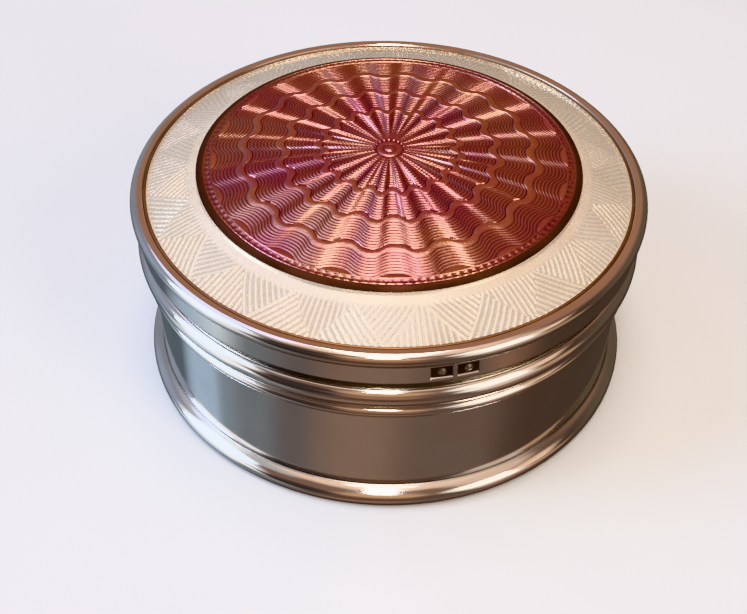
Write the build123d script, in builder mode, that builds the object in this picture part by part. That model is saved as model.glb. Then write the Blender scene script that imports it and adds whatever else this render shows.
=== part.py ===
"""Round silver pill box with an enamelled, hinged lid. Millimetres, +Z up, origin at the centre of
the foot ring's resting face. The hinge is at the back (+Y) and its pin lies along X."""

import math
import os

from build123d import *

# ---- driving dimensions -------------------------------------------------------------------
# body
wall_radius = 21.3  # outside of the drum
wall_thickness = 0.6
body_height = 14.9  # top of the drum
base_recess = 0.7  # the base plate is lifted off the table by this much
base_thickness = 0.8

foot_radius = 22.4
foot_contact_radius = 21.8
foot_height = 2.0
foot_bulge_height = 0.95  # where the moulding is widest

seat_bead_radius = 22.35
seat_bead_height = 2.1
seat_bead_drop = 0.55  # from the top of the drum down to the top of the bead
fine_bead_radius = 21.95
fine_bead_height = 1.0
bead_gap = 0.3  # dark line between the two beads

collar_thickness = 0.5  # the gilt collar inside the drum, which the lid closes over
collar_bottom = 11.5
collar_top = 16.7
collar_rounding = 0.2

# lid
lid_gap = 0.35  # shadow line between the seat bead and the lid
band_radius = 22.1
band_height = 1.85
rim_radius = 22.5
rim_height = 1.3
rim_step = 0.05  # the rim overhangs the band by this much
rim_crest_width = 0.3  # from the bezel out to the rim's highest line
rim_dip = 0.08  # from that line down to the bezel
flange_thickness = 0.5
flange_clearance = 0.1  # running fit of the lid's flange over the collar
flange_lift = 0.2  # the flange stops this far above the band's lower edge

enamel_radius = 21.1  # outer edge of the pale enamel ring
bezel_radius = 21.55  # outer edge of the thin gilt bezel round it
medallion_radius = 16.7  # foot of the bevelled collar round the medallion
medallion_top_radius = 16.1
enamel_drop = 0.1  # the enamel's outer edge below the top of the rim
ring_rise = 1.48  # the pale ring climbs by this much towards the medallion
ring_camber = 0.08  # how far its middle stands above a straight slope
collar_rise = 0.27  # the bevelled collar climbs by this much more
collar_lip_width = 0.1  # the narrow lip inside the collar's bevel
collar_lip_rise = 0.03
medallion_rise = 1.2  # the crown of the medallion above its own edge
bezel_crown = 0.06  # the bezel wire stands above the enamel's edge by this much
bezel_fall = 0.04  # and ends below it at the rim by this much

enamel_depth = 0.3
ground_thickness = 0.4
lining_thickness = 0.5

# generic punch marks on the lid band, near the front
punch_width = 1.8
punch_height = 1.2
punch_depth = 0.12
punch_corner = 0.25
punch_boss_radius = 0.3
punch_angles = (-78.5, -73.0)

# hinge
hinge_length = 13.0
knuckle_count = 5
knuckle_radius = 1.0
knuckle_gap = 0.1
knuckle_chamfer = 0.08
knuckle_room = 0.15  # air round a knuckle where it passes the other half's bearer
pin_radius = 0.4
pin_overhang = 0.15
pin_rounding = 0.12
pin_fit = 0.01  # in the body's knuckles, which grip the pin
running_fit = 0.05  # in the lid's knuckles
hinge_y = 22.6
body_bearer_overhang = 0.3  # how far a bearer stands out beyond the hinge axis
lid_bearer_overhang = 0.2
bearer_undercut = 0.4  # the body's bearer tapers in to this far inside the axis
bearer_depth = 1.5  # how far a bearer block starts inside the drum, before it is hollowed to fit
recess_reach = 2.0  # how far the recess cutter passes the drum on both sides

# ---- worked out from them ---------------------------------------------------------------
wall_inner_radius = wall_radius - wall_thickness
collar_radius = wall_inner_radius
collar_inner_radius = collar_radius - collar_thickness
base_top = base_recess + base_thickness
seat_bead_bottom = body_height - seat_bead_drop - seat_bead_height

lid_bottom = body_height + lid_gap
rim_bottom = lid_bottom + band_height
rim_top = rim_bottom + rim_height
enamel_edge_z = rim_top - enamel_drop
ring_inner_z = enamel_edge_z + ring_rise
medallion_edge_z = ring_inner_z + collar_rise
crown_z = medallion_edge_z + medallion_rise

flange_inner_radius = collar_radius + flange_clearance
flange_radius = flange_inner_radius + flange_thickness
lining_depth = enamel_depth + ground_thickness
hinge_z = body_height + lid_gap / 2
knuckle_pitch = hinge_length / knuckle_count
recess_width = 2 * (hinge_y - wall_radius + recess_reach)


def ring_surface(depth):
    """Radius and height of three points on the pale ring's surface, sunk by depth, inner end first."""
    middle_radius = (medallion_radius + enamel_radius) / 2
    middle_z = (ring_inner_z + enamel_edge_z) / 2 + ring_camber
    return (
        (medallion_radius, ring_inner_z - depth),
        (middle_radius, middle_z - depth),
        (enamel_radius, enamel_edge_z - depth),
    )


def medallion_surface(depth):
    """The same for the medallion, from the crown on the axis out to its edge."""
    middle_z = crown_z - medallion_rise / 4
    return (
        (0, crown_z - depth),
        (medallion_top_radius / 2, middle_z - depth),
        (medallion_top_radius, medallion_edge_z - depth),
    )


def write(piece, name):
    """Label the finished piece and write it as its own STEP file."""
    piece.part.label = name
    export_step(piece.part, f"parts/{name}.step")


def half_round(bottom, height, radius):
    """A half-round wire bent round the drum."""
    low = (wall_radius, bottom)
    high = (wall_radius, bottom + height)
    with BuildPart() as wire:
        with BuildSketch(Plane.XZ):
            with BuildLine():
                ThreePointArc(low, (radius, bottom + height / 2), high)
                Line(high, low)
            make_face()
        revolve(axis=Axis.Z)
    return wire


def layer(surface, top_depth, bottom_depth):
    """One layer of the lid's top: between the same curved surface sunk by two depths."""
    top = surface(top_depth)
    bottom = surface(bottom_depth)
    with BuildPart() as sheet:
        with BuildSketch(Plane.XZ):
            with BuildLine():
                ThreePointArc(*top)
                Line(top[2], bottom[2])
                ThreePointArc(*bottom)
                Line(bottom[0], top[0])
            make_face()
        revolve(axis=Axis.Z)
    return sheet


os.makedirs("parts", exist_ok=True)

# ---- body ---------------------------------------------------------------------------------
# drum: a plain strip of silver closed into a cylinder, standing on the base plate
with BuildPart() as body_wall:
    with BuildSketch(Plane.XY.offset(base_top)):
        Circle(wall_radius)
        Circle(wall_inner_radius, mode=Mode.SUBTRACT)
    extrude(amount=body_height - base_top)
write(body_wall, "body_wall")

# base plate: a plain disc under the drum, lifted off the table by the foot ring
with BuildPart() as base_plate:
    with BuildSketch(Plane.XY.offset(base_recess)):
        Circle(wall_radius)
    extrude(amount=base_thickness)
write(base_plate, "base_plate")

# foot: a round moulding bent round the bottom of the drum, with a flat on its underside to stand on
with BuildPart() as foot_moulding:
    with BuildSketch(Plane.XZ):
        with BuildLine():
            foot_edge = (foot_contact_radius, 0)
            foot_top = (wall_radius, foot_height)
            ThreePointArc(foot_edge, (foot_radius, foot_bulge_height), foot_top)
            Polyline(foot_top, (wall_radius, 0), foot_edge)
        make_face()
    revolve(axis=Axis.Z)
write(foot_moulding, "foot_moulding")

# seat bead: the large half-round moulding under the lid, open at the back for the hinge
with BuildPart() as seat_bead:
    add(half_round(seat_bead_bottom, seat_bead_height, seat_bead_radius).part)
    with Locations((0, hinge_y, seat_bead_bottom + seat_bead_height / 2)):
        Box(hinge_length, recess_width, seat_bead_height, mode=Mode.SUBTRACT)
write(seat_bead, "seat_bead")

# fine bead: a half-round wire just under the seat bead
fine_bead_bottom = seat_bead_bottom - bead_gap - fine_bead_height
fine_bead = half_round(fine_bead_bottom, fine_bead_height, fine_bead_radius)
write(fine_bead, "fine_bead")

# inner collar: the gilt ring that stands up inside the drum and centres the lid
with BuildPart() as inner_collar:
    with BuildSketch(Plane.XY.offset(collar_bottom)):
        Circle(collar_radius)
        Circle(collar_inner_radius, mode=Mode.SUBTRACT)
    extrude(amount=collar_top - collar_bottom)
    top_edges = inner_collar.edges().filter_by(GeomType.CIRCLE).group_by(Axis.Z)[-1]
    fillet(top_edges, radius=collar_rounding)
write(inner_collar, "inner_collar")

# ---- lid ----------------------------------------------------------------------------------
# band: the lid's plain side strip, open at the back for the hinge and struck with two blank punches
with BuildPart() as lid_band:
    with BuildSketch(Plane.XY.offset(lid_bottom)):
        Circle(band_radius)
        Circle(flange_radius, mode=Mode.SUBTRACT)
    extrude(amount=band_height)
    with Locations((0, hinge_y, lid_bottom + band_height / 2)):
        Box(hinge_length, recess_width, band_height, mode=Mode.SUBTRACT)
    punch_z = lid_bottom + band_height / 2
    for punch_angle in punch_angles:
        outward = Vector(1, 0, 0).rotate(Axis.Z, punch_angle)
        punch_plane = Plane(
            origin=outward * (band_radius - punch_depth) + Vector(0, 0, punch_z),
            x_dir=Vector(0, 1, 0).rotate(Axis.Z, punch_angle),
            z_dir=outward,
        )
        with BuildSketch(punch_plane):
            RectangleRounded(punch_width, punch_height, punch_corner)
            Circle(punch_boss_radius, mode=Mode.SUBTRACT)
        extrude(amount=2 * punch_depth, mode=Mode.SUBTRACT)
write(lid_band, "lid_band")

# rim: the rounded shoulder between the band and the enamel
with BuildPart() as lid_rim:
    with BuildSketch(Plane.XZ):
        with BuildLine():
            rim_under = (band_radius + rim_step, rim_bottom)
            rim_crest = (bezel_radius + rim_crest_width, rim_top)
            ThreePointArc(rim_under, (rim_radius, rim_bottom + 0.6 * rim_height), rim_crest)
            Polyline(
                rim_crest,
                (bezel_radius, rim_top - rim_dip),
                (bezel_radius, rim_bottom),
                rim_under,
            )
        make_face()
    revolve(axis=Axis.Z)
write(lid_rim, "lid_rim")

# flange: the ring inside the band that slides over the collar, its top cut to the lining's slope
with BuildPart() as lid_flange:
    with BuildSketch(Plane.XZ):
        with BuildLine():
            lining_under = enamel_edge_z - lining_depth - lining_thickness
            Polyline(
                (flange_inner_radius, lid_bottom + flange_lift),
                (flange_radius, lid_bottom + flange_lift),
                (flange_radius, rim_bottom),
                (enamel_radius, rim_bottom),
                (flange_inner_radius, lining_under),
                (flange_inner_radius, lid_bottom + flange_lift),
            )
        make_face()
    revolve(axis=Axis.Z)
write(lid_flange, "lid_flange")

# lining: the gilt plate that closes the lid from inside, dished to the same step as the top
with BuildPart() as lid_lining:
    with BuildSketch(Plane.XZ):
        with BuildLine():
            upper_ring = ring_surface(lining_depth)
            upper_crown = medallion_surface(lining_depth)
            lower_ring = ring_surface(lining_depth + lining_thickness)
            lower_crown = medallion_surface(lining_depth + lining_thickness)
            ThreePointArc(*upper_crown)
            Line(upper_crown[2], upper_ring[0])
            ThreePointArc(*upper_ring)
            Line(upper_ring[2], lower_ring[2])
            ThreePointArc(*lower_ring)
            Line(lower_ring[0], lower_crown[2])
            ThreePointArc(*lower_crown)
            Line(lower_crown[0], upper_crown[0])
        make_face()
    revolve(axis=Axis.Z)
write(lid_lining, "lid_lining")

# rim bezel: the thin gilt wire between the enamel and the rim
with BuildPart() as rim_bezel:
    with BuildSketch(Plane.XZ):
        with BuildLine():
            wire_start = (enamel_radius, enamel_edge_z)
            wire_crest = ((enamel_radius + bezel_radius) / 2, enamel_edge_z + bezel_crown)
            wire_end = (bezel_radius, enamel_edge_z - bezel_fall)
            ThreePointArc(wire_start, wire_crest, wire_end)
            Polyline(
                wire_end,
                (bezel_radius, rim_bottom),
                (enamel_radius, rim_bottom),
                wire_start,
            )
        make_face()
    revolve(axis=Axis.Z)
write(rim_bezel, "rim_bezel")

# the engraved silver grounds and the glass fired over them
ring_ground = layer(ring_surface, enamel_depth, lining_depth)
write(ring_ground, "ring_ground")
ring_enamel = layer(ring_surface, 0, enamel_depth)
write(ring_enamel, "ring_enamel")
centre_ground = layer(medallion_surface, enamel_depth, lining_depth)
write(centre_ground, "centre_ground")
centre_enamel = layer(medallion_surface, 0, enamel_depth)
write(centre_enamel, "centre_enamel")

# centre collar: the bevelled ring that holds the raised medallion above the pale ring
with BuildPart() as centre_collar:
    with BuildSketch(Plane.XZ):
        with BuildLine():
            Polyline(
                (medallion_top_radius, medallion_edge_z - lining_depth),
                (medallion_radius, ring_inner_z - lining_depth),
                (medallion_radius, ring_inner_z),
                (medallion_top_radius + collar_lip_width, medallion_edge_z + collar_lip_rise),
                (medallion_top_radius, medallion_edge_z),
                (medallion_top_radius, medallion_edge_z - lining_depth),
            )
        make_face()
    revolve(axis=Axis.Z)
write(centre_collar, "centre_collar")

# ---- hinge --------------------------------------------------------------------------------
hinge_start = -hinge_length / 2
hinge_plane = Plane(origin=(0, hinge_y, hinge_z), x_dir=(0, 1, 0), z_dir=(1, 0, 0))
knuckle_names = (
    "body_knuckle_left",
    "lid_knuckle_left",
    "body_knuckle_centre",
    "lid_knuckle_right",
    "body_knuckle_right",
)


def knuckle_middle(index):
    """X of the middle of a knuckle, counted from the left end."""
    return hinge_start + (index + 0.5) * knuckle_pitch


def bearer(owner, outline, seam_radius):
    """A block that fills the recess on one side of the joint line, with a bed for its own knuckles
    and more room for the other half's, and hollowed to fit round the ring that it is soldered to."""
    with BuildPart() as block:
        with BuildSketch(hinge_plane.offset(-hinge_length / 2)):
            Polygon(*outline, align=None)
        extrude(amount=hinge_length)
        with BuildSketch(Plane.XY):
            Circle(seam_radius)
        extrude(amount=rim_top, mode=Mode.SUBTRACT)
        for index, name in enumerate(knuckle_names):
            room = 0 if name.startswith(owner) else knuckle_room
            with BuildSketch(hinge_plane.offset(hinge_start + index * knuckle_pitch)):
                Circle(knuckle_radius + room)
            extrude(amount=knuckle_pitch, mode=Mode.SUBTRACT)
    return block


# the bearers' outlines are given from the hinge axis: outward, then up
inward_reach = wall_radius - hinge_y - bearer_depth
half_gap = lid_gap / 2
bearer_bottom = seat_bead_bottom - hinge_z
body_hinge_bearer = bearer(
    "body",
    (
        (inward_reach, -half_gap),
        (inward_reach, bearer_bottom),
        (-bearer_undercut, bearer_bottom),
        (body_bearer_overhang, 0.5 * bearer_bottom),
        (body_bearer_overhang, -half_gap),
    ),
    wall_radius,
)
write(body_hinge_bearer, "body_hinge_bearer")
lid_hinge_bearer = bearer(
    "lid",
    (
        (inward_reach, half_gap),
        (inward_reach, half_gap + band_height),
        (0, half_gap + band_height),
        (lid_bearer_overhang, half_gap + 0.7 * band_height),
        (lid_bearer_overhang, half_gap),
    ),
    flange_radius,
)
write(lid_hinge_bearer, "lid_hinge_bearer")

for index, name in enumerate(knuckle_names):
    fit = pin_fit if name.startswith("body") else running_fit
    length = knuckle_pitch - knuckle_gap
    with BuildPart() as knuckle:
        with BuildSketch(hinge_plane.offset(knuckle_middle(index) - length / 2)):
            Circle(knuckle_radius)
            Circle(pin_radius + fit, mode=Mode.SUBTRACT)
        extrude(amount=length)
        round_edges = knuckle.edges().filter_by(GeomType.CIRCLE)
        outer_edges = round_edges.filter_by(lambda edge: edge.radius > knuckle_radius / 2)
        chamfer(outer_edges, length=knuckle_chamfer)
    write(knuckle, name)

with BuildPart() as hinge_pin:
    pin_length = hinge_length - knuckle_gap + 2 * pin_overhang
    with BuildSketch(hinge_plane.offset(-pin_length / 2)):
        Circle(pin_radius)
    extrude(amount=pin_length)
    fillet(hinge_pin.edges().filter_by(GeomType.CIRCLE), radius=pin_rounding)
write(hinge_pin, "hinge_pin")

print("lid bottom", round(lid_bottom, 3), "rim top", round(rim_top, 3), "crown", round(crown_z, 3))
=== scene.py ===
"""Looks for a round silver pill box with an enamelled lid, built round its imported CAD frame.

Lengths in the building functions are millimetres in the frame's own axes. Meshes are scaled to metres
as they are made. Every piece stands for one CAD node, except that two share the medallion's ground. The
two hinge bearers are the CAD's own meshes with a new look.
"""

import math

import bmesh
import bpy
import numpy as np
from mathutils import Matrix, Vector


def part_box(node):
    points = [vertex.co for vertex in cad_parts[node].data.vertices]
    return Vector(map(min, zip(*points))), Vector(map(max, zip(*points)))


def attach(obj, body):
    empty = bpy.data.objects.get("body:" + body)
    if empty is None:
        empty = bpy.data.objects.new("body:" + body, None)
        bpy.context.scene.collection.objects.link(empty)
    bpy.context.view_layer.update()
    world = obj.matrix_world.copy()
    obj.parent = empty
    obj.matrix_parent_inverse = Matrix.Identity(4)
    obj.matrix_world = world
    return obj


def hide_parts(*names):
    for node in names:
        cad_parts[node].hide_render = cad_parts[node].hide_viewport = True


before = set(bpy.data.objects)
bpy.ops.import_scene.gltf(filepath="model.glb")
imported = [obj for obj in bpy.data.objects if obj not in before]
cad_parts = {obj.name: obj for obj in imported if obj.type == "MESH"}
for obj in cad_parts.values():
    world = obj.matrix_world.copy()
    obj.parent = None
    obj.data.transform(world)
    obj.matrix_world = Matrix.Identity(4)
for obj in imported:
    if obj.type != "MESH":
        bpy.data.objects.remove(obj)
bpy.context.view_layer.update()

MM = 0.001
TURN = 2 * math.pi


# ---- sizes read from the frame --------------------------------------------------------------
def corners(node):
    """Lowest and highest corner of a CAD node, in millimetres."""
    low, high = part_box(node)
    return np.array(low) / MM, np.array(high) / MM


def outer_radius(node):
    """Half of a round node's width."""
    low, high = corners(node)
    return (high[0] - low[0]) / 2


def level(node, side):
    """Height of a node's underside (0) or top (1)."""
    return corners(node)[side][2]


wall_radius = outer_radius("body_wall")
collar_radius = outer_radius("inner_collar")  # also the inside of the drum
foot_radius = outer_radius("foot_moulding")
band_radius = outer_radius("lid_band")
rim_radius = outer_radius("lid_rim") - 0.02  # the rim's arc swells by this much past its middle point
flange_radius = outer_radius("lid_flange")
bezel_radius = outer_radius("rim_bezel")
enamel_radius = outer_radius("ring_enamel")
medallion_foot_radius = outer_radius("centre_collar")
medallion_radius = outer_radius("centre_enamel")

base_bottom, base_top = level("base_plate", 0), level("base_plate", 1)
foot_top = level("foot_moulding", 1)
body_top = level("body_wall", 1)
lid_bottom, band_top = level("lid_band", 0), level("lid_band", 1)
rim_top = level("lid_rim", 1)
crown = level("centre_enamel", 1)
ring_crest = level("ring_enamel", 1)
ring_depth = ring_crest - level("ring_enamel", 0)
pin_low, pin_high = corners("hinge_pin")
hinge_y = (pin_low[1] + pin_high[1]) / 2
hinge_z = (pin_low[2] + pin_high[2]) / 2
hinge_length = corners("body_knuckle_right")[1][0] - corners("body_knuckle_left")[0][0]
hinge_gap = 0.05  # free space at each end of the hinge, where the rings are cut open for it
hinge_half = hinge_length / 2 + hinge_gap

# the parts of the section that a node's box doesn't give
enamel_depth = 0.3
ground_thickness = 0.4
lining_thickness = 0.5
gilt_thickness = 0.5  # of the collar in the drum and of the flange in the lid
enamel_edge = ring_crest - ring_depth + enamel_depth
medallion_rise = 1.2
medallion_edge = crown - medallion_rise
wire_radius = enamel_radius + 0.25  # the brown-gold wire shows this narrow between enamel and rim


# ---- outlines -------------------------------------------------------------------------------
def circle_through(a, b, c):
    """Centre and radius of the circle through three points of the section."""
    (ax, ay), (bx, by), (cx, cy) = a, b, c
    d = 2 * (ax * (by - cy) + bx * (cy - ay) + cx * (ay - by))
    a2, b2, c2 = ax * ax + ay * ay, bx * bx + by * by, cx * cx + cy * cy
    x = (a2 * (by - cy) + b2 * (cy - ay) + c2 * (ay - by)) / d
    y = (a2 * (cx - bx) + b2 * (ax - cx) + c2 * (bx - ax)) / d
    return x, y, math.hypot(ax - x, ay - y)


def arc(a, b, c, steps):
    """Points from a through b to c along a circle."""
    x, y, radius = circle_through(a, b, c)
    angles = [math.atan2(p[1] - y, p[0] - x) for p in (a, b, c)]
    sweep = (angles[2] - angles[0]) % TURN
    if (angles[1] - angles[0]) % TURN > sweep:
        sweep -= TURN
    turns = angles[0] + np.linspace(0, sweep, steps + 1)
    return [(x + radius * math.cos(t), y + radius * math.sin(t)) for t in turns]


def eased(points, steps=4):
    """A closed outline whose corners are rounded: each point is (radius, height, easing)."""
    outline = []
    for i, (x, z, easing) in enumerate(points):
        here = np.array((x, z))
        if not easing:
            outline.append(tuple(here))
            continue
        before = np.array(points[i - 1][:2]) - here
        after = np.array(points[(i + 1) % len(points)][:2]) - here
        start = here + before * easing / np.linalg.norm(before)
        end = here + after * easing / np.linalg.norm(after)
        for t in np.linspace(0, 1, steps + 1):
            outline.append(tuple((1 - t) ** 2 * start + 2 * t * (1 - t) * here + t * t * end))
    return outline


def divided(outline, longest=0.5):
    """The outline with its long sides cut up, so that smooth shading stays flat along them."""
    points = []
    for here, after in zip(outline, outline[1:] + outline[:1]):
        here, after = np.array(here), np.array(after)
        pieces = max(1, math.ceil(np.linalg.norm(after - here) / longest))
        points += [tuple(here + (after - here) * k / pieces) for k in range(pieces)]
    return points


# ---- meshes ---------------------------------------------------------------------------------
def grid_faces(rows, columns, wrap_rows, wrap_columns):
    """Quads of a grid of vertices, row by row."""
    i = np.arange(rows if wrap_rows else rows - 1)
    j = np.arange(columns if wrap_columns else columns - 1)
    i, j = np.meshgrid(i, j, indexing="ij")
    below, beside = (i + 1) % rows, (j + 1) % columns
    quads = (i * columns + j, i * columns + beside, below * columns + beside, below * columns + j)
    return np.stack([q.ravel() for q in quads], axis=1)


def new_piece(name, vertices, faces, material, body, nodes, tone=None, sharp=35.0):
    """A shaded mesh piece, in millimetres, that rides on a body and stands for its CAD nodes."""
    mesh = bpy.data.meshes.new(name)
    mesh.from_pydata((np.asarray(vertices, float) * MM).tolist(), [], [list(f) for f in faces])
    if tone is not None:
        attribute = mesh.attributes.new("tone", "FLOAT", "POINT")
        attribute.data.foreach_set("value", np.asarray(tone, np.float32))
    work = bmesh.new()
    work.from_mesh(mesh)
    bmesh.ops.remove_doubles(work, verts=work.verts, dist=1e-8)
    bmesh.ops.recalc_face_normals(work, faces=work.faces)
    work.to_mesh(mesh)
    work.free()
    mesh.materials.append(material)
    mesh.shade_smooth()
    mesh.set_sharp_from_angle(angle=math.radians(sharp))
    piece = bpy.data.objects.new(name, mesh)
    bpy.context.scene.collection.objects.link(piece)
    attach(piece, body)
    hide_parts(*nodes)
    return piece


def ring_points(outline, columns, recess=None):
    """The outline turned about Z. With a recess, it stops at both sides of the hinge's cut."""
    radius, height = np.array(outline).T
    if recess is None:
        angle = np.linspace(0, TURN, columns, endpoint=False)[None, :].repeat(len(radius), 0)
    else:
        cut = np.arcsin(recess / radius)[:, None]
        share = np.linspace(0, 1, columns)[None, :]
        angle = math.pi / 2 + cut + (TURN - 2 * cut) * share
    x, y = radius[:, None] * np.cos(angle), radius[:, None] * np.sin(angle)
    return np.stack([x, y, height[:, None].repeat(angle.shape[1], 1)], axis=-1)


def capped(rows, columns):
    """Faces of a turned outline that is cut open, with both ends closed."""
    faces = grid_faces(rows, columns, True, False).tolist()
    faces.append([i * columns for i in range(rows)][::-1])
    faces.append([i * columns + columns - 1 for i in range(rows)])
    return faces


def turned(name, outline, material, body, node, columns=360, recess=None, tone=None):
    """A ring or disc: a closed outline turned about Z, open at the back if it is let in for the hinge."""
    points = ring_points(outline, columns, recess)
    rows = len(outline)
    if recess is None:
        faces = grid_faces(rows, columns, True, True)
    else:
        faces = capped(rows, columns)
    # the tone at each vertex: grime, and painted shade in grooves and crevices
    grime_and_shade = None
    if tone is not None:
        grime_and_shade = np.array([tone(r, z) for r, z in outline]).repeat(columns)
    return new_piece(name, points.reshape(-1, 3), faces, material, body, [node], grime_and_shade)


# ---- materials ------------------------------------------------------------------------------
def linear(*srgb):
    """A colour given as it looks on screen, 0 to 255, as the linear colour of a shader."""
    return tuple(((c / 255 + 0.055) / 1.055) ** 2.4 for c in srgb) + (1.0,)


def mirrored(*srgb):
    """The light that silver must mirror to look like a colour on screen: the view transform takes the
    same small amount from all three channels, and the silver keeps nine tenths of the light."""
    seen = linear(*srgb)[:3]
    low = min(seen)
    taken = 0.04 if low > 0.04 else math.sqrt(low / 6.25) - low
    return tuple((c + taken) / 0.9 for c in seen) + (1.0,)


def feed(tree, socket, value):
    """Link another node's socket to a socket, or give it a plain value."""
    if isinstance(value, bpy.types.NodeSocket):
        tree.links.new(value, socket)
    else:
        socket.default_value = value


class Nodes:
    """A short way to lay out one material's nodes. Most methods add a node and return what it gives."""

    def __init__(self, name):
        self.material = bpy.data.materials.new(name)
        self.material.use_nodes = True
        self.tree = self.material.node_tree
        self.shader = self.tree.nodes["Principled BSDF"]

    def add(self, kind, inputs=None, **settings):
        """A new node, with its settings and its fed sockets."""
        node = self.tree.nodes.new(kind)
        for key, value in settings.items():
            setattr(node, key, value)
        for key, value in (inputs or {}).items():
            feed(self.tree, node.inputs[key], value)
        return node

    def set(self, **values):
        """Set or link the shader's sockets, named with underscores for spaces."""
        for key, value in values.items():
            feed(self.tree, self.shader.inputs[key.replace("_", " ")], value)

    def math(self, operation, a, b=0.0, clamp=False):
        """The result of an operation on two values."""
        node = self.add("ShaderNodeMath", {0: a, 1: b}, operation=operation, use_clamp=clamp)
        return node.outputs[0]

    def remap(self, value, low, high, to_low, to_high):
        """A value stretched from one range to another and kept inside it."""
        sockets = {"Value": value, "From Min": low, "From Max": high, "To Min": to_low, "To Max": to_high}
        return self.add("ShaderNodeMapRange", sockets).outputs[0]

    def blend(self, factor, a, b):
        """A colour between two colours."""
        return self.add("ShaderNodeMix", {0: factor, 6: a, 7: b}, data_type="RGBA").outputs[2]

    def place(self):
        """Position in the frame, in millimetres."""
        where = self.add("ShaderNodeTexCoord").outputs["Object"]
        scaled = self.add("ShaderNodeVectorMath", {0: where, 3: 1000.0}, operation="SCALE")
        return scaled.outputs[0]

    def round_place(self):
        """Distance round the box, height and radius, in millimetres, so that marks can run round it."""
        split = self.add("ShaderNodeSeparateXYZ", {0: self.place()})
        x, y, z = split.outputs
        angle = self.math("ARCTAN2", y, x)
        flat = self.add("ShaderNodeCombineXYZ", {0: x, 1: y, 2: 0.0}).outputs[0]
        radius = self.add("ShaderNodeVectorMath", {0: flat}, operation="LENGTH").outputs["Value"]
        along = self.math("MULTIPLY", angle, 20.0)
        return self.add("ShaderNodeCombineXYZ", {0: along, 1: z, 2: radius}).outputs[0]

    def stretched(self, vector, scale):
        """A place scaled by a factor of its own along each axis."""
        return self.add("ShaderNodeVectorMath", {0: vector, 1: scale}, operation="MULTIPLY").outputs[0]

    def noise(self, vector, scale, detail=3.0, rough=0.55):
        """Cloudy noise from about 0.2 to 0.8."""
        sockets = {"Vector": vector, "Scale": scale, "Detail": detail, "Roughness": rough}
        return self.add("ShaderNodeTexNoise", sockets).outputs["Fac"]

    def bump(self, height, strength, distance):
        """A normal that follows a height, with the distance in millimetres."""
        sockets = {"Height": height, "Strength": strength, "Distance": distance * MM}
        return self.add("ShaderNodeBump", sockets).outputs["Normal"]

    def tone(self):
        """The grime and painted shade stored at each vertex of the mesh."""
        return self.add("ShaderNodeAttribute", attribute_name="tone").outputs["Fac"]


GRIME_AND_SHADE = linear(50, 30, 22)  # the dark colour of grime and of painted shade in grooves and crevices


def metal(name, colour, shade, rough, wear=1.0):
    """Polished metal with fine polishing lines round the box, stray scratches, bloom, and grime with
    painted shade in its grooves and crevices.
    """
    look = Nodes(name)
    place = look.place()
    around = look.round_place()
    lines = look.noise(look.stretched(around, (0.25, 9.0, 9.0)), 1.0, 4.0)
    bloom = look.noise(place, 0.22, 4.0)
    specks = look.noise(place, 2.6, 2.0)
    speck = look.remap(specks, 0.68, 0.78, 0.0, 1.0)
    scratch = look.noise(look.stretched(place, (0.5, 0.9, 6.0)), 1.3, 5.0, 0.7)
    fine = look.remap(scratch, 0.6, 0.74, 0.0, 1.0)
    # darker where the mesh's tone asks: grime, and painted shade in grooves and crevices
    grime_and_shade = look.math("MULTIPLY", look.tone(), look.remap(bloom, 0.3, 0.7, 0.75, 1.0), clamp=True)
    tint = look.blend(look.remap(bloom, 0.35, 0.75, 0.0, 0.5), colour, shade)
    look.set(Base_Color=look.blend(grime_and_shade, tint, GRIME_AND_SHADE))
    look.set(Metallic=1.0)
    grain = look.remap(lines, 0.3, 0.7, rough * 0.8, rough * 1.35)
    gloss = look.math("ADD", grain, look.math("MULTIPLY", fine, 0.07 * wear))
    gloss = look.math("ADD", gloss, look.math("MULTIPLY", speck, 0.08 * wear))
    look.set(Roughness=look.math("ADD", gloss, look.math("MULTIPLY", grime_and_shade, 0.35)))
    height = look.math("ADD", look.math("MULTIPLY", lines, 0.5), look.math("MULTIPLY", fine, 0.5 * wear))
    look.set(Normal=look.bump(height, 0.18, 0.006))
    return look.material


def engraved(name, colour, shade, depths, rough, cut_darkening, grain):
    """Cut silver seen through enamel: bright, a little uneven and grainy, and darker in its cuts, partly
    from tarnished silver there and partly painted shade.
    """
    look = Nodes(name)
    place = look.place()
    cloud = look.noise(place, 0.16, 4.0)
    fine = look.noise(place, 5.0, 3.0)
    base = look.blend(look.remap(cloud, 0.35, 0.7, 0.0, 1.0), colour, shade)
    # darker in the cuts: tarnished silver there, and painted shade
    deep = look.math("MULTIPLY", look.tone(), cut_darkening)
    deep = look.math("ADD", deep, look.remap(fine, 0.42, 0.6, 0.0, grain), clamp=True)
    look.set(Base_Color=look.blend(deep, base, depths))
    look.set(Metallic=1.0, Roughness=look.remap(fine, 0.3, 0.7, rough * 0.85, rough * 1.2))
    look.set(Normal=look.bump(fine, 0.5, 0.02))
    return look.material


def enamel(name, colour, shade, alpha):
    """Translucent glass fired over the cuts: faintly cloudy, glossy, with tiny pits and wiping marks."""
    look = Nodes(name)
    place = look.place()
    cloud = look.noise(place, 0.3, 4.0)
    pits = look.remap(look.noise(place, 3.2, 1.0), 0.74, 0.8, 0.0, 1.0)
    smear = look.noise(look.stretched(place, (0.5, 1.6, 1.0)), 0.6, 5.0)
    look.set(Base_Color=look.blend(look.remap(cloud, 0.35, 0.7, 0.0, 1.0), colour, shade))
    gloss = look.remap(smear, 0.3, 0.7, 0.08, 0.16)
    look.set(Roughness=look.math("ADD", gloss, look.math("MULTIPLY", pits, 0.3)))
    look.set(Normal=look.bump(look.math("ADD", smear, pits), 0.1, 0.01))
    look.set(Alpha=alpha, IOR=1.5, Specular_IOR_Level=0.6, Coat_Weight=0.3, Coat_Roughness=0.12)
    return look.material


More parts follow.
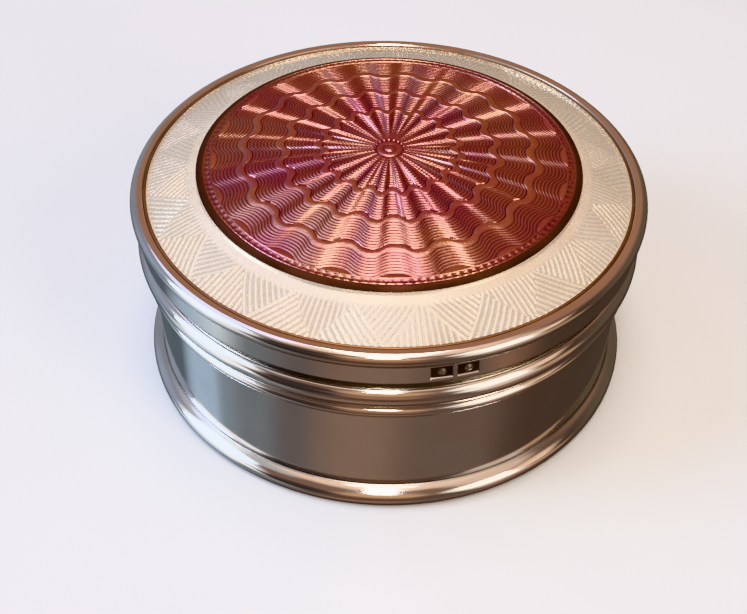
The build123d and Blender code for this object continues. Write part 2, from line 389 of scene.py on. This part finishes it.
silver = metal("polished_silver", linear(243, 241, 238), linear(226, 221, 214), 0.07)
hinge_silver = metal("hinge_silver", linear(235, 232, 227), linear(210, 204, 196), 0.13, 1.5)
pin_silver = metal("pin_silver", linear(222, 219, 214), linear(190, 184, 176), 0.2, 1.5)
gilt = metal("gilt", linear(244, 214, 150), linear(226, 186, 112), 0.12, 0.6)
toned_gilt = metal("toned_gilt", linear(150, 112, 84), linear(110, 76, 54), 0.38)
toned_copper = metal("toned_copper", linear(122, 84, 70), linear(86, 56, 44), 0.42)
# each ground's third colour is that of its cuts: tarnished silver, and painted shade
pale_ground = engraved(
    "pale_ground", linear(240, 231, 216), linear(229, 212, 186), linear(84, 66, 44), 0.27, 1.0, 0.4,
)
mauve_ground = engraved(
    "mauve_ground", linear(240, 199, 168), linear(221, 151, 166), linear(102, 34, 66), 0.22, 0.9, 0.08,
)
pale_enamel = enamel("pale_enamel", linear(248, 242, 231), linear(240, 231, 216), 0.22)
mauve_enamel = enamel("mauve_enamel", linear(118, 22, 40), linear(96, 18, 48), 0.18)


# ---- body -----------------------------------------------------------------------------------
def seam(z, *edges):
    """Grime and painted shade within a short way of the given heights."""
    return max([0.0] + [1 - abs(z - edge) / 0.2 for edge in edges])


def joint(r, z):
    """Grime and painted shade in the narrow groove where a moulding meets the drum."""
    return max(0.0, 1 - (r - wall_radius) / 0.12)


def drum_tone(r, z):
    """Painted shade on the drum over the seat bead, in the crevice under the lid's band, and grime with
    painted shade where the foot and the fine bead meet the drum.
    """
    # painted shade of the crevice between the seat bead and the lid's band
    above = 0.7 if z > level("seat_bead", 1) - 0.1 else 0.0
    return max(above, seam(z, foot_top, level("fine_bead", 0)))


turned(
    "drum",
    divided(eased([
        (wall_radius, base_top, 0),
        (wall_radius, body_top, 0.06),
        (collar_radius, body_top, 0.06),
        (collar_radius, base_top, 0),
    ])),
    silver, "body", "body_wall", tone=drum_tone,
)
turned(
    "base_disc",
    divided([(0, base_bottom), (wall_radius, base_bottom), (wall_radius, base_top), (0, base_top)], 1.5),
    silver, "body", "base_plate",
)
foot_contact = foot_radius - 0.6
foot_turn = (foot_radius - 0.14, 1.38)  # where the foot's round side meets its flatter shoulder
foot_side = arc((foot_contact, 0), (foot_radius - 0.01, 0.76), foot_turn, 18)
foot_shoulder = arc(foot_turn, (foot_radius - 0.56, 1.7), (wall_radius + 0.15, foot_top - 0.1), 18)
turned(
    "foot_ring",
    [(wall_radius, 0)] + foot_side + foot_shoulder[1:] + [(wall_radius, foot_top - 0.01)],
    silver, "body", "foot_moulding", tone=joint,
)


def round_wire(name, node, steps, recess=None):
    """A half-round wire bent round the drum, a little narrower than its CAD node."""
    trim = 0.02
    low, high = level(node, 0) + trim, level(node, 1) - trim
    outline = arc((wall_radius, low), (outer_radius(node), (low + high) / 2), (wall_radius, high), steps)
    turned(name, outline, silver, "body", node, recess=recess, tone=joint)


round_wire("seat_ring", "seat_bead", 32, hinge_half)
round_wire("fine_ring", "fine_bead", 20)
collar_low, collar_high = level("inner_collar", 0), level("inner_collar", 1)
collar_inner = collar_radius - gilt_thickness
turned(
    "gilt_collar",
    divided(eased([
        (collar_radius, collar_low, 0),
        (collar_radius, collar_high, 0.2),
        (collar_inner, collar_high, 0.2),
        (collar_inner, collar_low, 0.1),
    ])),
    gilt, "body", "inner_collar",
)


# ---- lid side -------------------------------------------------------------------------------
punch_width, punch_height, punch_depth = 1.8, 1.2, 0.12
band_lean = 0.12  # the band draws in by this much towards the rim
punch_angles = (math.radians(-78.5), math.radians(-73.0))


def band_angles(middle):
    """Angles round the band from one side of the hinge's cut to the other, close together near a middle."""
    cut = math.asin(hinge_half / band_radius)
    reach = 0.1
    coarse = np.linspace(math.pi / 2 + cut, math.pi / 2 + TURN - cut, 361)
    coarse = coarse[np.abs(coarse - middle) > reach + 0.005]
    return np.sort(np.concatenate([coarse, middle + np.linspace(-reach, reach, 141)]))


def punch_mark(across, up):
    """Share of the full depth of one blank punch: a plain sunk frame round a plain round boss."""
    edge = np.maximum(np.abs(across) - punch_width / 2, np.abs(up) - punch_height / 2)
    sunk_frame = np.clip(-edge / 0.08, 0, 1)
    boss = np.clip(1.6 - np.hypot(across, up) / 0.25, 0, 1)
    return sunk_frame * (1 - 0.8 * boss)


def punched_band():
    """The lid's band, with two blank punches struck in it."""
    side = np.linspace(lid_bottom, band_top, 47)
    outline = [(flange_radius, band_top), (flange_radius, lid_bottom)] + [(band_radius, z) for z in side]
    marks = [TURN + a for a in punch_angles]
    angles = band_angles(sum(marks) / 2)
    radius, height = np.array(outline).T
    r = radius[:, None].repeat(len(angles), 1)
    t = angles[None, :].repeat(len(radius), 0)
    z = height[:, None].repeat(len(angles), 1)
    outside = r > flange_radius + 0.1
    up = z - (lid_bottom + band_top) / 2
    struck = np.zeros_like(r)
    for mark in marks:
        struck = np.maximum(struck, punch_mark((t - mark) * band_radius, up))
    struck *= outside & (z > lid_bottom) & (z < band_top)
    lean = band_lean * (z - lid_bottom) / (band_top - lid_bottom) * outside
    r = r - punch_depth * struck - lean
    cut = np.arcsin(hinge_half / r)
    ends = np.minimum(np.maximum(t, math.pi / 2 + cut), math.pi / 2 + TURN - cut)
    points = np.stack([r * np.cos(ends), r * np.sin(ends), z], axis=-1)
    # painted shade along the band's top and bottom, a faint even painted shade over the whole band, and
    # grime in the punches
    edges = np.clip(1 - (z - lid_bottom) / 0.1, 0, 1) + np.clip(1 - (band_top - z) / 0.1, 0, 1)
    tone = np.maximum(struck, np.maximum(edges, 0.06) * (r > band_radius - 0.2)).ravel()
    new_piece(
        "struck_band", points.reshape(-1, 3), capped(len(outline), len(angles)), silver,
        "lid", ["lid_band"], tone,
    )


punched_band()


def shoulder_tone(r, z):
    """Painted shade on the lower half of the rim, and a little grime where it meets the bezel."""
    # painted shade on the rim's underside
    underside_shade = min(0.2, (rim_top - 0.33 - z) / 0.25)
    at_bezel = 0.3 - abs(r - wire_radius) / 0.2
    return max(0.0, underside_shade, at_bezel)


rim_step = 0.05  # the rim overhangs the band by this much
rim_middle = (rim_radius, band_top + 0.6 * (rim_top - band_top))
rim_crest = (bezel_radius + 0.3, rim_top)
rim_fall = [(wire_radius + 0.1, rim_top - 0.03), (wire_radius, rim_top - 0.12), (wire_radius, band_top)]
turned(
    "lid_shoulder",
    arc((band_radius + rim_step, band_top), rim_middle, rim_crest, 28) + rim_fall,
    silver, "lid", "lid_rim", tone=shoulder_tone,
)
flange_low = level("lid_flange", 0)
flange_inner = flange_radius - gilt_thickness
turned(
    "gilt_flange",
    divided(eased([
        (flange_inner, flange_low, 0.1),
        (flange_radius, flange_low, 0.1),
        (flange_radius, band_top, 0),
        (flange_inner, band_top, 0),
    ])),
    gilt, "lid", "lid_flange",
)


# ---- lid top --------------------------------------------------------------------------------
ring_inner = medallion_foot_radius
ring_middle = ((ring_inner + enamel_radius) / 2, (ring_crest + enamel_edge) / 2 + 0.08)
ring_arc = ((ring_inner, ring_crest), ring_middle, (enamel_radius, enamel_edge))
crown_middle = (medallion_radius / 2, crown - medallion_rise / 4)
crown_arc = ((0, crown), crown_middle, (medallion_radius, medallion_edge))


def sunk(points, depth):
    """The same points of the section, this much lower."""
    return [(r, z - depth) for r, z in points]


def surface_height(points):
    """The height of a curved surface of the lid as a function of radius."""
    x, y, radius = circle_through(*points)
    return lambda r: y + np.sqrt(radius ** 2 - (r - x) ** 2)


ring_top, crown_top = surface_height(ring_arc), surface_height(crown_arc)


def glass(name, section, steps, material, node):
    """A curved sheet of enamel with its upper side on the surface."""
    top = arc(*section, steps)
    bottom = arc(*sunk(section, enamel_depth), steps)
    turned(name, top + bottom[::-1], material, "lid", node)


def lid_section(depth):
    """The lid's whole section from the crown to the enamel's outer edge, this far below the surface."""
    return arc(*sunk(crown_arc, depth), 30) + arc(*sunk(ring_arc, depth), 12)


lining_depth = enamel_depth + ground_thickness
turned(
    "gilt_lining",
    lid_section(lining_depth) + lid_section(lining_depth + lining_thickness)[::-1],
    gilt, "lid", "lid_lining",
)


def wire_tone(r, z):
    """Dirt along both edges of the bezel wire."""
    return max(0.0, 1 - min(abs(r - enamel_radius), abs(r - wire_radius)) / 0.08)


wire_crest = ((enamel_radius + wire_radius) / 2, enamel_edge + 0.06)
wire_end = (wire_radius, enamel_edge - 0.02)
turned(
    "bezel_wire",
    arc((enamel_radius, enamel_edge), wire_crest, wire_end, 10)
    + [(wire_radius, band_top), (enamel_radius, band_top)],
    toned_gilt, "lid", "rim_bezel", tone=wire_tone,
)


def bevel_tone(r, z):
    """The bevelled collar is toned dark, and darkest at its foot."""
    return 0.72 + 0.28 * (r - medallion_radius) / (ring_inner - medallion_radius)


collar_lip_width, collar_lip_rise = 0.1, 0.03
turned(
    "bevelled_collar",
    eased([
        (medallion_radius, medallion_edge - lining_depth, 0),
        (ring_inner, ring_crest - lining_depth, 0),
        (ring_inner, ring_crest, 0),
        (medallion_radius + collar_lip_width, medallion_edge + collar_lip_rise, 0.04),
        (medallion_radius, medallion_edge, 0.02),
    ]),
    toned_copper, "lid", "centre_collar", tone=bevel_tone,
)
glass("pale_glass", ring_arc, 16, pale_enamel, "ring_enamel")
glass("mauve_glass", crown_arc, 40, mauve_enamel, "centre_enamel")

# hatched triangles of the pale ring's ground
triangle_count = 22  # that hang, and as many that stand
zigzag_phase = math.radians(0.8)
hatch_pitch, hatch_depth = 0.46, 0.11
inner_margin, outer_margin = 0.7, 0.15  # plain silver left on both sides of the triangles
lip_width = 0.07  # the ground's edges turn up within this width


def hatch_cut(r, front_angle):
    """Share of the hatching's full depth at a radius and an angle measured from the front. The triangles
    hang and stand in turn, and their lines lean one way, the other way or not at all."""
    low, high = ring_inner + inner_margin, enamel_radius - outer_margin
    along = high - low
    pitch = TURN * (low + high) / 2 / triangle_count
    outward = (r - low) / along
    turns = (front_angle - zigzag_phase) / TURN * triangle_count
    whole = np.floor(turns)
    part = turns - whole
    hanging = np.abs(part - 0.5) < 0.5 * outward
    index = np.where(hanging, 2 * whole + 1, 2 * np.floor(turns + 0.5))
    lean = np.choose(np.mod(index + 1, 3).astype(int), [0.5, -0.5, 0.0]) * pitch
    centre = np.where(hanging, 0.5, np.where(part > 0.5, 1.0, 0.0))
    across = (part - centre) * pitch
    distance = (across - lean * (outward - 0.5)) * along / np.hypot(lean, along)
    cut = 0.5 - 0.5 * np.cos(TURN * distance / hatch_pitch)
    inside = np.clip(outward * along / 0.35, 0, 1) * np.clip((1 - outward) * along / 0.1, 0, 1)
    return cut * inside


def hatched_ground():
    """The pale ring's ground, with its edges turned up to the surface of the glass."""
    rows, columns = 60, 1600
    radius = np.linspace(ring_inner, enamel_radius, rows)
    angle = np.linspace(0, TURN, columns, endpoint=False)
    r, t = np.meshgrid(radius, angle, indexing="ij")
    front = (t + math.pi / 2 + math.pi) % TURN - math.pi
    cut = hatch_cut(r, front)
    from_edge = np.minimum(r - ring_inner, enamel_radius - r)
    lip = np.clip(1 - from_edge / lip_width, 0, 1)
    z = ring_top(r) - enamel_depth - 0.01 - hatch_depth * cut + (enamel_depth - 0.02) * lip
    top = np.stack([r * np.cos(t), r * np.sin(t), z], axis=-1)
    under = []
    for edge in (enamel_radius, ring_inner):
        low = ring_top(edge) - lining_depth
        under.append(np.stack([edge * np.cos(angle), edge * np.sin(angle), np.full(columns, low)], axis=-1))
    points = np.concatenate([top, np.array(under)])
    # tone: the hatch cuts darker, tarnished silver and painted shade
    tone = np.concatenate([cut, np.ones((2, columns))]).ravel()
    faces = grid_faces(rows + 2, columns, True, True)
    new_piece(
        "hatched_ground", points.reshape(-1, 3), faces, pale_ground, "lid",
        ["ring_ground"], tone, sharp=80,
    )


hatched_ground()

# engine turning of the medallion's ground
lobe_count = 20
columns_per_lobe = 24
zone_count = 4
cuts_per_zone = 8
first_cuts = 13  # between the boss and the second zone
boss_radius = 1.4
lobe_phase = math.radians(2.85)
wave_reach = 0.36  # how far a wave goes in or out
wave_squareness = 1.3
zone_start = 0.12 * ring_inner
zone_width = 0.2 * ring_inner
band_width, line_width = 0.66, 0.2
cut_depth, line_depth, band_crown = 0.078, 0.11, 0.03
border_inner = 0.92 * ring_inner


def fine_cuts(start, end, count):
    """Distance and depth of a run of fine cuts side by side."""
    pitch = (end - start) / count
    cuts = []
    for k in range(count):
        for part, depth in ((0, 0), (0.25, 0.55), (0.5, 1), (0.75, 0.55)):
            cuts.append((start + (k + part) * pitch, depth * cut_depth))
    return cuts


def zone_section():
    """Distance from the start of a zone and depth of its deep line, its plain band and its fine cuts."""
    line = [(0, 0), (line_width / 2, line_depth)]
    band = [
        (line_width + band_width * t, -band_crown * math.sin(math.pi * t))
        for t in np.linspace(0, 1, 6)
    ]
    return line + band + fine_cuts(line_width + band_width + 0.02, zone_width, cuts_per_zone)


def turned_rows():
    """Radius, depth and share of the wave for every row of the medallion, from the middle out."""
    bead = [(0.0, -0.06, 0), (0.15, -0.055, 0), (0.3, -0.03, 0), (0.42, 0.02, 0), (0.5, 0.06, 0)]
    boss_ring = [(0.6, 0.03, 0), (0.8, -0.01, 0), (1.0, 0.01, 0), (1.12, 0.07, 0), (1.22, 0.09, 0)]
    rows = bead + boss_ring
    for radius, depth in fine_cuts(boss_radius, zone_start + zone_width, first_cuts):
        share = min(1.0, radius / 4)
        rows.append((radius, depth * share, share))
    for zone in range(1, zone_count):
        for distance, depth in zone_section():
            radius = zone_start + zone * zone_width + distance
            rows.append((radius, depth, 1.0))
    last = zone_start + zone_count * zone_width
    return rows + [(last, 0.0, 1.0), (last + 0.3, 0.0, 0.5)]


def engine_turned_ground():
    """The medallion's ground: rows of cuts that wave in and out round the middle."""
    rows = np.array(turned_rows())
    columns = lobe_count * columns_per_lobe
    angle = np.linspace(0, TURN, columns, endpoint=False)
    front = angle + math.pi / 2
    wave = -np.cos(lobe_count * (front - lobe_phase))
    wave = np.tanh(wave_squareness * wave) / math.tanh(wave_squareness)
    r = rows[:, 0:1] + wave_reach * rows[:, 2:3] * wave[None, :]
    r = np.minimum(r, medallion_radius - 0.02)
    z = crown_top(r) - 0.06 - rows[:, 1:2]
    top = np.stack([r * np.cos(angle), r * np.sin(angle), z], axis=-1)
    low = crown_top(r[-1]) - lining_depth
    skirt = np.stack([r[-1] * np.cos(angle), r[-1] * np.sin(angle), low], axis=-1)[None]
    middle = np.zeros((1, columns, 3))
    middle[..., 2] = crown - lining_depth
    points = np.concatenate([top, skirt, middle])
    # tone: the engine-turned cuts darker, tarnished silver and painted shade
    tone = np.clip(rows[:, 1] / line_depth, 0, 1)[:, None].repeat(columns, 1)
    tone = np.concatenate([tone, np.ones((2, columns))]).ravel()
    faces = grid_faces(len(rows) + 2, columns, False, True)
    new_piece(
        "engine_turned_ground", points.reshape(-1, 3), faces, mauve_ground, "lid",
        ["centre_ground"], tone, sharp=80,
    )


engine_turned_ground()


def milled_border():
    """The ring round the engine turning: short radial mill cuts between two fine lines."""
    mills, per_mill = 144, 8
    mill_depth = 0.035
    columns = mills * per_mill
    angle = np.linspace(0, TURN, columns, endpoint=False)
    width = medallion_radius - border_inner
    # share of the width, depth and share of the mill cuts
    section = [
        (0.0, 0.03, 0), (0.03, 0.0, 0), (0.1, 0.0, 0), (0.14, 0.04, 0), (0.18, 0.0, 0),
        (0.22, 0.0, 1), (0.5, 0.0, 1), (0.8, 0.0, 1),
        (0.84, 0.0, 0), (0.9, 0.04, 0), (0.94, 0.0, 0), (1.0, 0.0, 0),
    ]
    cut = (0.5 + 0.5 * np.cos(mills * angle)) ** 0.7
    radius = np.array([border_inner + s[0] * width for s in section])[:, None].repeat(columns, 1)
    depth = np.array([s[1] + s[2] * mill_depth * cut for s in section])
    z = crown_top(radius) - 0.03 - depth
    top = np.stack([radius * np.cos(angle), radius * np.sin(angle), z], axis=-1)
    under = top[[-1, 0]] - (0, 0, 0.12)
    points = np.concatenate([top, under])
    # painted shadow across the band of mill cuts, and painted shade deeper in each cut
    shadow = np.array([0.3 * s[2] for s in section])[:, None]
    tone = np.concatenate([np.clip(shadow + depth / 0.09, 0, 1), np.ones((2, columns))]).ravel()
    faces = grid_faces(len(section) + 2, columns, True, True)
    new_piece(
        "milled_border", points.reshape(-1, 3), faces, mauve_ground, "lid",
        ["centre_ground"], tone, sharp=80,
    )


milled_border()


# ---- hinge ----------------------------------------------------------------------------------
def along_hinge(outline, columns):
    """An outline of (radius, distance along X) turned about the hinge's axis."""
    points = ring_points(outline, columns)
    return np.stack([points[..., 2], hinge_y + points[..., 0], hinge_z + points[..., 1]], axis=-1)


def hinge_round(name, outline, material, body, node, columns=64):
    """A clean round part of the hinge."""
    points = along_hinge(outline, columns)
    faces = grid_faces(len(outline), columns, True, True)
    tone = np.zeros(len(outline) * columns)
    new_piece(name, points.reshape(-1, 3), faces, material, body, [node], tone)


pin_radius = (pin_high[2] - pin_low[2]) / 2
bore = pin_radius + 0.05
for body in ("body", "lid"):
    for place in ("left", "centre", "right"):
        node = f"{body}_knuckle_{place}"
        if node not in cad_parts:
            continue
        low, high = corners(node)
        radius = (high[2] - low[2]) / 2
        outline = eased([
            (bore, low[0], 0.03), (radius, low[0], 0.12), (radius, high[0], 0.12), (bore, high[0], 0.03),
        ])
        hinge_round(f"{body}_tube_{place}", divided(outline), hinge_silver, body, node)
pin_end = pin_high[0]
pin_head = [(pin_radius, pin_end - 0.16), (0.34, pin_end - 0.06), (0.22, pin_end - 0.01), (0, pin_end)]
pin_tail = [(radius, -x) for radius, x in pin_head[::-1]]
hinge_round("peened_pin", pin_tail + pin_head, pin_silver, "body", "hinge_pin")
for node in ("body_hinge_bearer", "lid_hinge_bearer"):
    for bearer_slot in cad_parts[node].material_slots:
        bearer_slot.material = hinge_silver


# ---- floor, light and camera ------------------------------------------------------------------
def floor():
    """A plain pale floor, which the silver doesn't mirror."""
    look = Nodes("pale_floor")
    fine = look.noise(look.place(), 0.05, 5.0)
    look.set(Base_Color=look.blend(fine, linear(190, 196, 204), linear(198, 203, 210)), Roughness=0.5)
    mesh = bpy.data.meshes.new("floor")
    reach = 3.0
    edge = [(-reach, -reach, 0), (reach, -reach, 0), (reach, reach, 0), (-reach, reach, 0)]
    mesh.from_pydata(edge, [], [(0, 1, 2, 3)])
    mesh.materials.append(look.material)
    piece = bpy.data.objects.new("floor", mesh)
    bpy.context.scene.collection.objects.link(piece)
    piece.visible_glossy = False


# Soft glows of the room round the box, in degrees: azimuth from the front (right is positive),
# elevation, the width of the glow's even middle and of its whole fade, and its colour in the silver.
ROOM_SHADE = (90, 70, 60)
ROOM_GLOWS = (
    # overhead
    (-155, 45, 20, 50, (140, 115, 110)),
    (160, 40, 20, 50, (150, 105, 80)),
    (0, 60, 20, 60, (120, 90, 75)),
    (-115, 50, 10, 25, (190, 190, 200)),
    (-85, 50, 5, 15, (235, 235, 235)),
    (-70, 60, 5, 12, (170, 170, 170)),
    (65, 60, 8, 18, (210, 180, 160)),
    (0, 90, 20, 30, (230, 195, 170)),
    # left: a grey wall, then a bright window
    (-130, 5, 20, 50, (125, 130, 140)),
    (-110, -25, 5, 18, (130, 145, 160)),
    (-105, 10, 8, 24, (140, 150, 170)),
    (-75, 25, 15, 25, (250, 250, 255)),
    (-70, -10, 15, 25, (250, 250, 255)),
    (-85, -35, 12, 22, (205, 215, 220)),
    # front: dark on the left, brown in the middle, a bright lamp on the right
    (-50, -30, 5, 18, (125, 130, 130)),
    (-35, 30, 10, 18, (55, 45, 45)),
    (-35, 0, 12, 20, (50, 40, 40)),
    (0, 40, 10, 20, (190, 150, 115)),
    (0, 10, 10, 20, (145, 105, 80)),
    (70, 30, 8, 18, (230, 190, 160)),
    (70, -10, 8, 18, (175, 140, 110)),
    (45, 35, 10, 18, (255, 245, 230)),
    (45, 10, 10, 20, (255, 245, 230)),
    (50, -10, 8, 18, (205, 180, 165)),
    # right: dark
    (95, 15, 15, 25, (70, 50, 40)),
    (125, 0, 20, 50, (90, 75, 60)),
    # the table, from the back on the left round to the back on the right
    (-135, -45, 10, 30, (80, 90, 100)),
    (-100, -50, 8, 18, (155, 175, 195)),
    (-80, -50, 5, 12, (120, 130, 140)),
    (-60, -50, 8, 18, (105, 110, 115)),
    (-35, -50, 8, 20, (95, 85, 85)),
    (0, -25, 12, 25, (90, 60, 45)),
    (0, -50, 10, 30, (125, 100, 85)),
    (50, -50, 15, 35, (100, 80, 70)),
    (60, -30, 8, 18, (135, 100, 80)),
    (100, -45, 10, 35, (70, 50, 40)),
    (145, -45, 12, 40, (65, 50, 40)),
    (0, -90, 15, 35, (70, 40, 25)),
)


def room():
    """What the silver mirrors away from the lights."""
    world = bpy.data.worlds.new("room")
    world.use_nodes = True
    tree = world.node_tree
    facing = tree.nodes.new("ShaderNodeTexCoord").outputs["Generated"]
    shade = mirrored(*ROOM_SHADE)
    for azimuth, elevation, middle_width, fade_width, colour in ROOM_GLOWS:
        turn, rise = math.radians(azimuth), math.radians(elevation)
        flat = math.cos(rise)
        dot = tree.nodes.new("ShaderNodeVectorMath")
        dot.operation = "DOT_PRODUCT"
        tree.links.new(facing, dot.inputs[0])
        dot.inputs[1].default_value = (flat * math.sin(turn), -flat * math.cos(turn), math.sin(rise))
        share = tree.nodes.new("ShaderNodeMapRange")
        share.interpolation_type = "SMOOTHSTEP"
        tree.links.new(dot.outputs["Value"], share.inputs["Value"])
        share.inputs["From Min"].default_value = math.cos(math.radians(fade_width))
        share.inputs["From Max"].default_value = math.cos(math.radians(middle_width))
        mix = tree.nodes.new("ShaderNodeMix")
        mix.data_type = "RGBA"
        feed(tree, mix.inputs[0], share.outputs[0])
        feed(tree, mix.inputs[6], shade)
        feed(tree, mix.inputs[7], mirrored(*colour))
        shade = mix.outputs[2]
    tree.links.new(shade, tree.nodes["Background"].inputs["Color"])
    bpy.context.scene.world = world


def soft_light(name, place, target, width, height, power, colour):
    """A soft box at a place, in metres, that faces a target."""
    data = bpy.data.lights.new(name, "AREA")
    data.shape = "RECTANGLE"
    data.size, data.size_y = width, height
    data.energy = power
    data.color = colour
    lamp = bpy.data.objects.new(name, data)
    lamp.location = place
    lamp.rotation_euler = (Vector(target) - Vector(place)).to_track_quat("-Z", "Y").to_euler()
    bpy.context.scene.collection.objects.link(lamp)


def camera():
    """A close view from the front, a little over a hand's width away."""
    pivot = Vector((0, 0, enamel_edge * MM))
    distance, elevation, roll = 0.1058, math.radians(37.37), math.radians(0.8)
    place = pivot + distance * Vector((0, -math.cos(elevation), math.sin(elevation)))
    target = Vector((-0.00109, -0.00708, 0.00903))
    look = (target - place).to_track_quat("-Z", "Y").to_matrix().to_4x4()
    data = bpy.data.cameras.new("camera")
    data.sensor_width = 36.0
    data.lens = 57.83
    data.clip_start = 0.005
    view = bpy.data.objects.new("camera", data)
    view.matrix_world = Matrix.Translation(place) @ look @ Matrix.Rotation(roll, 4, "Z")
    bpy.context.scene.collection.objects.link(view)
    bpy.context.scene.camera = view


floor()
middle = (0, 0, 0.01)
soft_light("key", (0.0, -0.172, 0.318), middle, 0.05, 0.14, 0.5, (1.0, 0.92, 0.82))
soft_light("long_box", (0.0, 0.02, 0.42), middle, 0.12, 0.28, 0.9, (1.0, 0.9, 0.78))
soft_light("window", (-0.42, -0.08, 0.21), middle, 0.2, 0.38, 2.1, (0.58, 0.74, 1.0))
soft_light("high_left", (-0.19, 0.12, 0.38), middle, 0.24, 0.24, 0.27, (0.6, 0.64, 1.0))
soft_light("lamp", (0.32, -0.29, 0.26), middle, 0.16, 0.26, 1.2, (1.0, 0.8, 0.6))
room()
camera()
bpy.context.scene.view_settings.view_transform = "Khronos PBR Neutral"
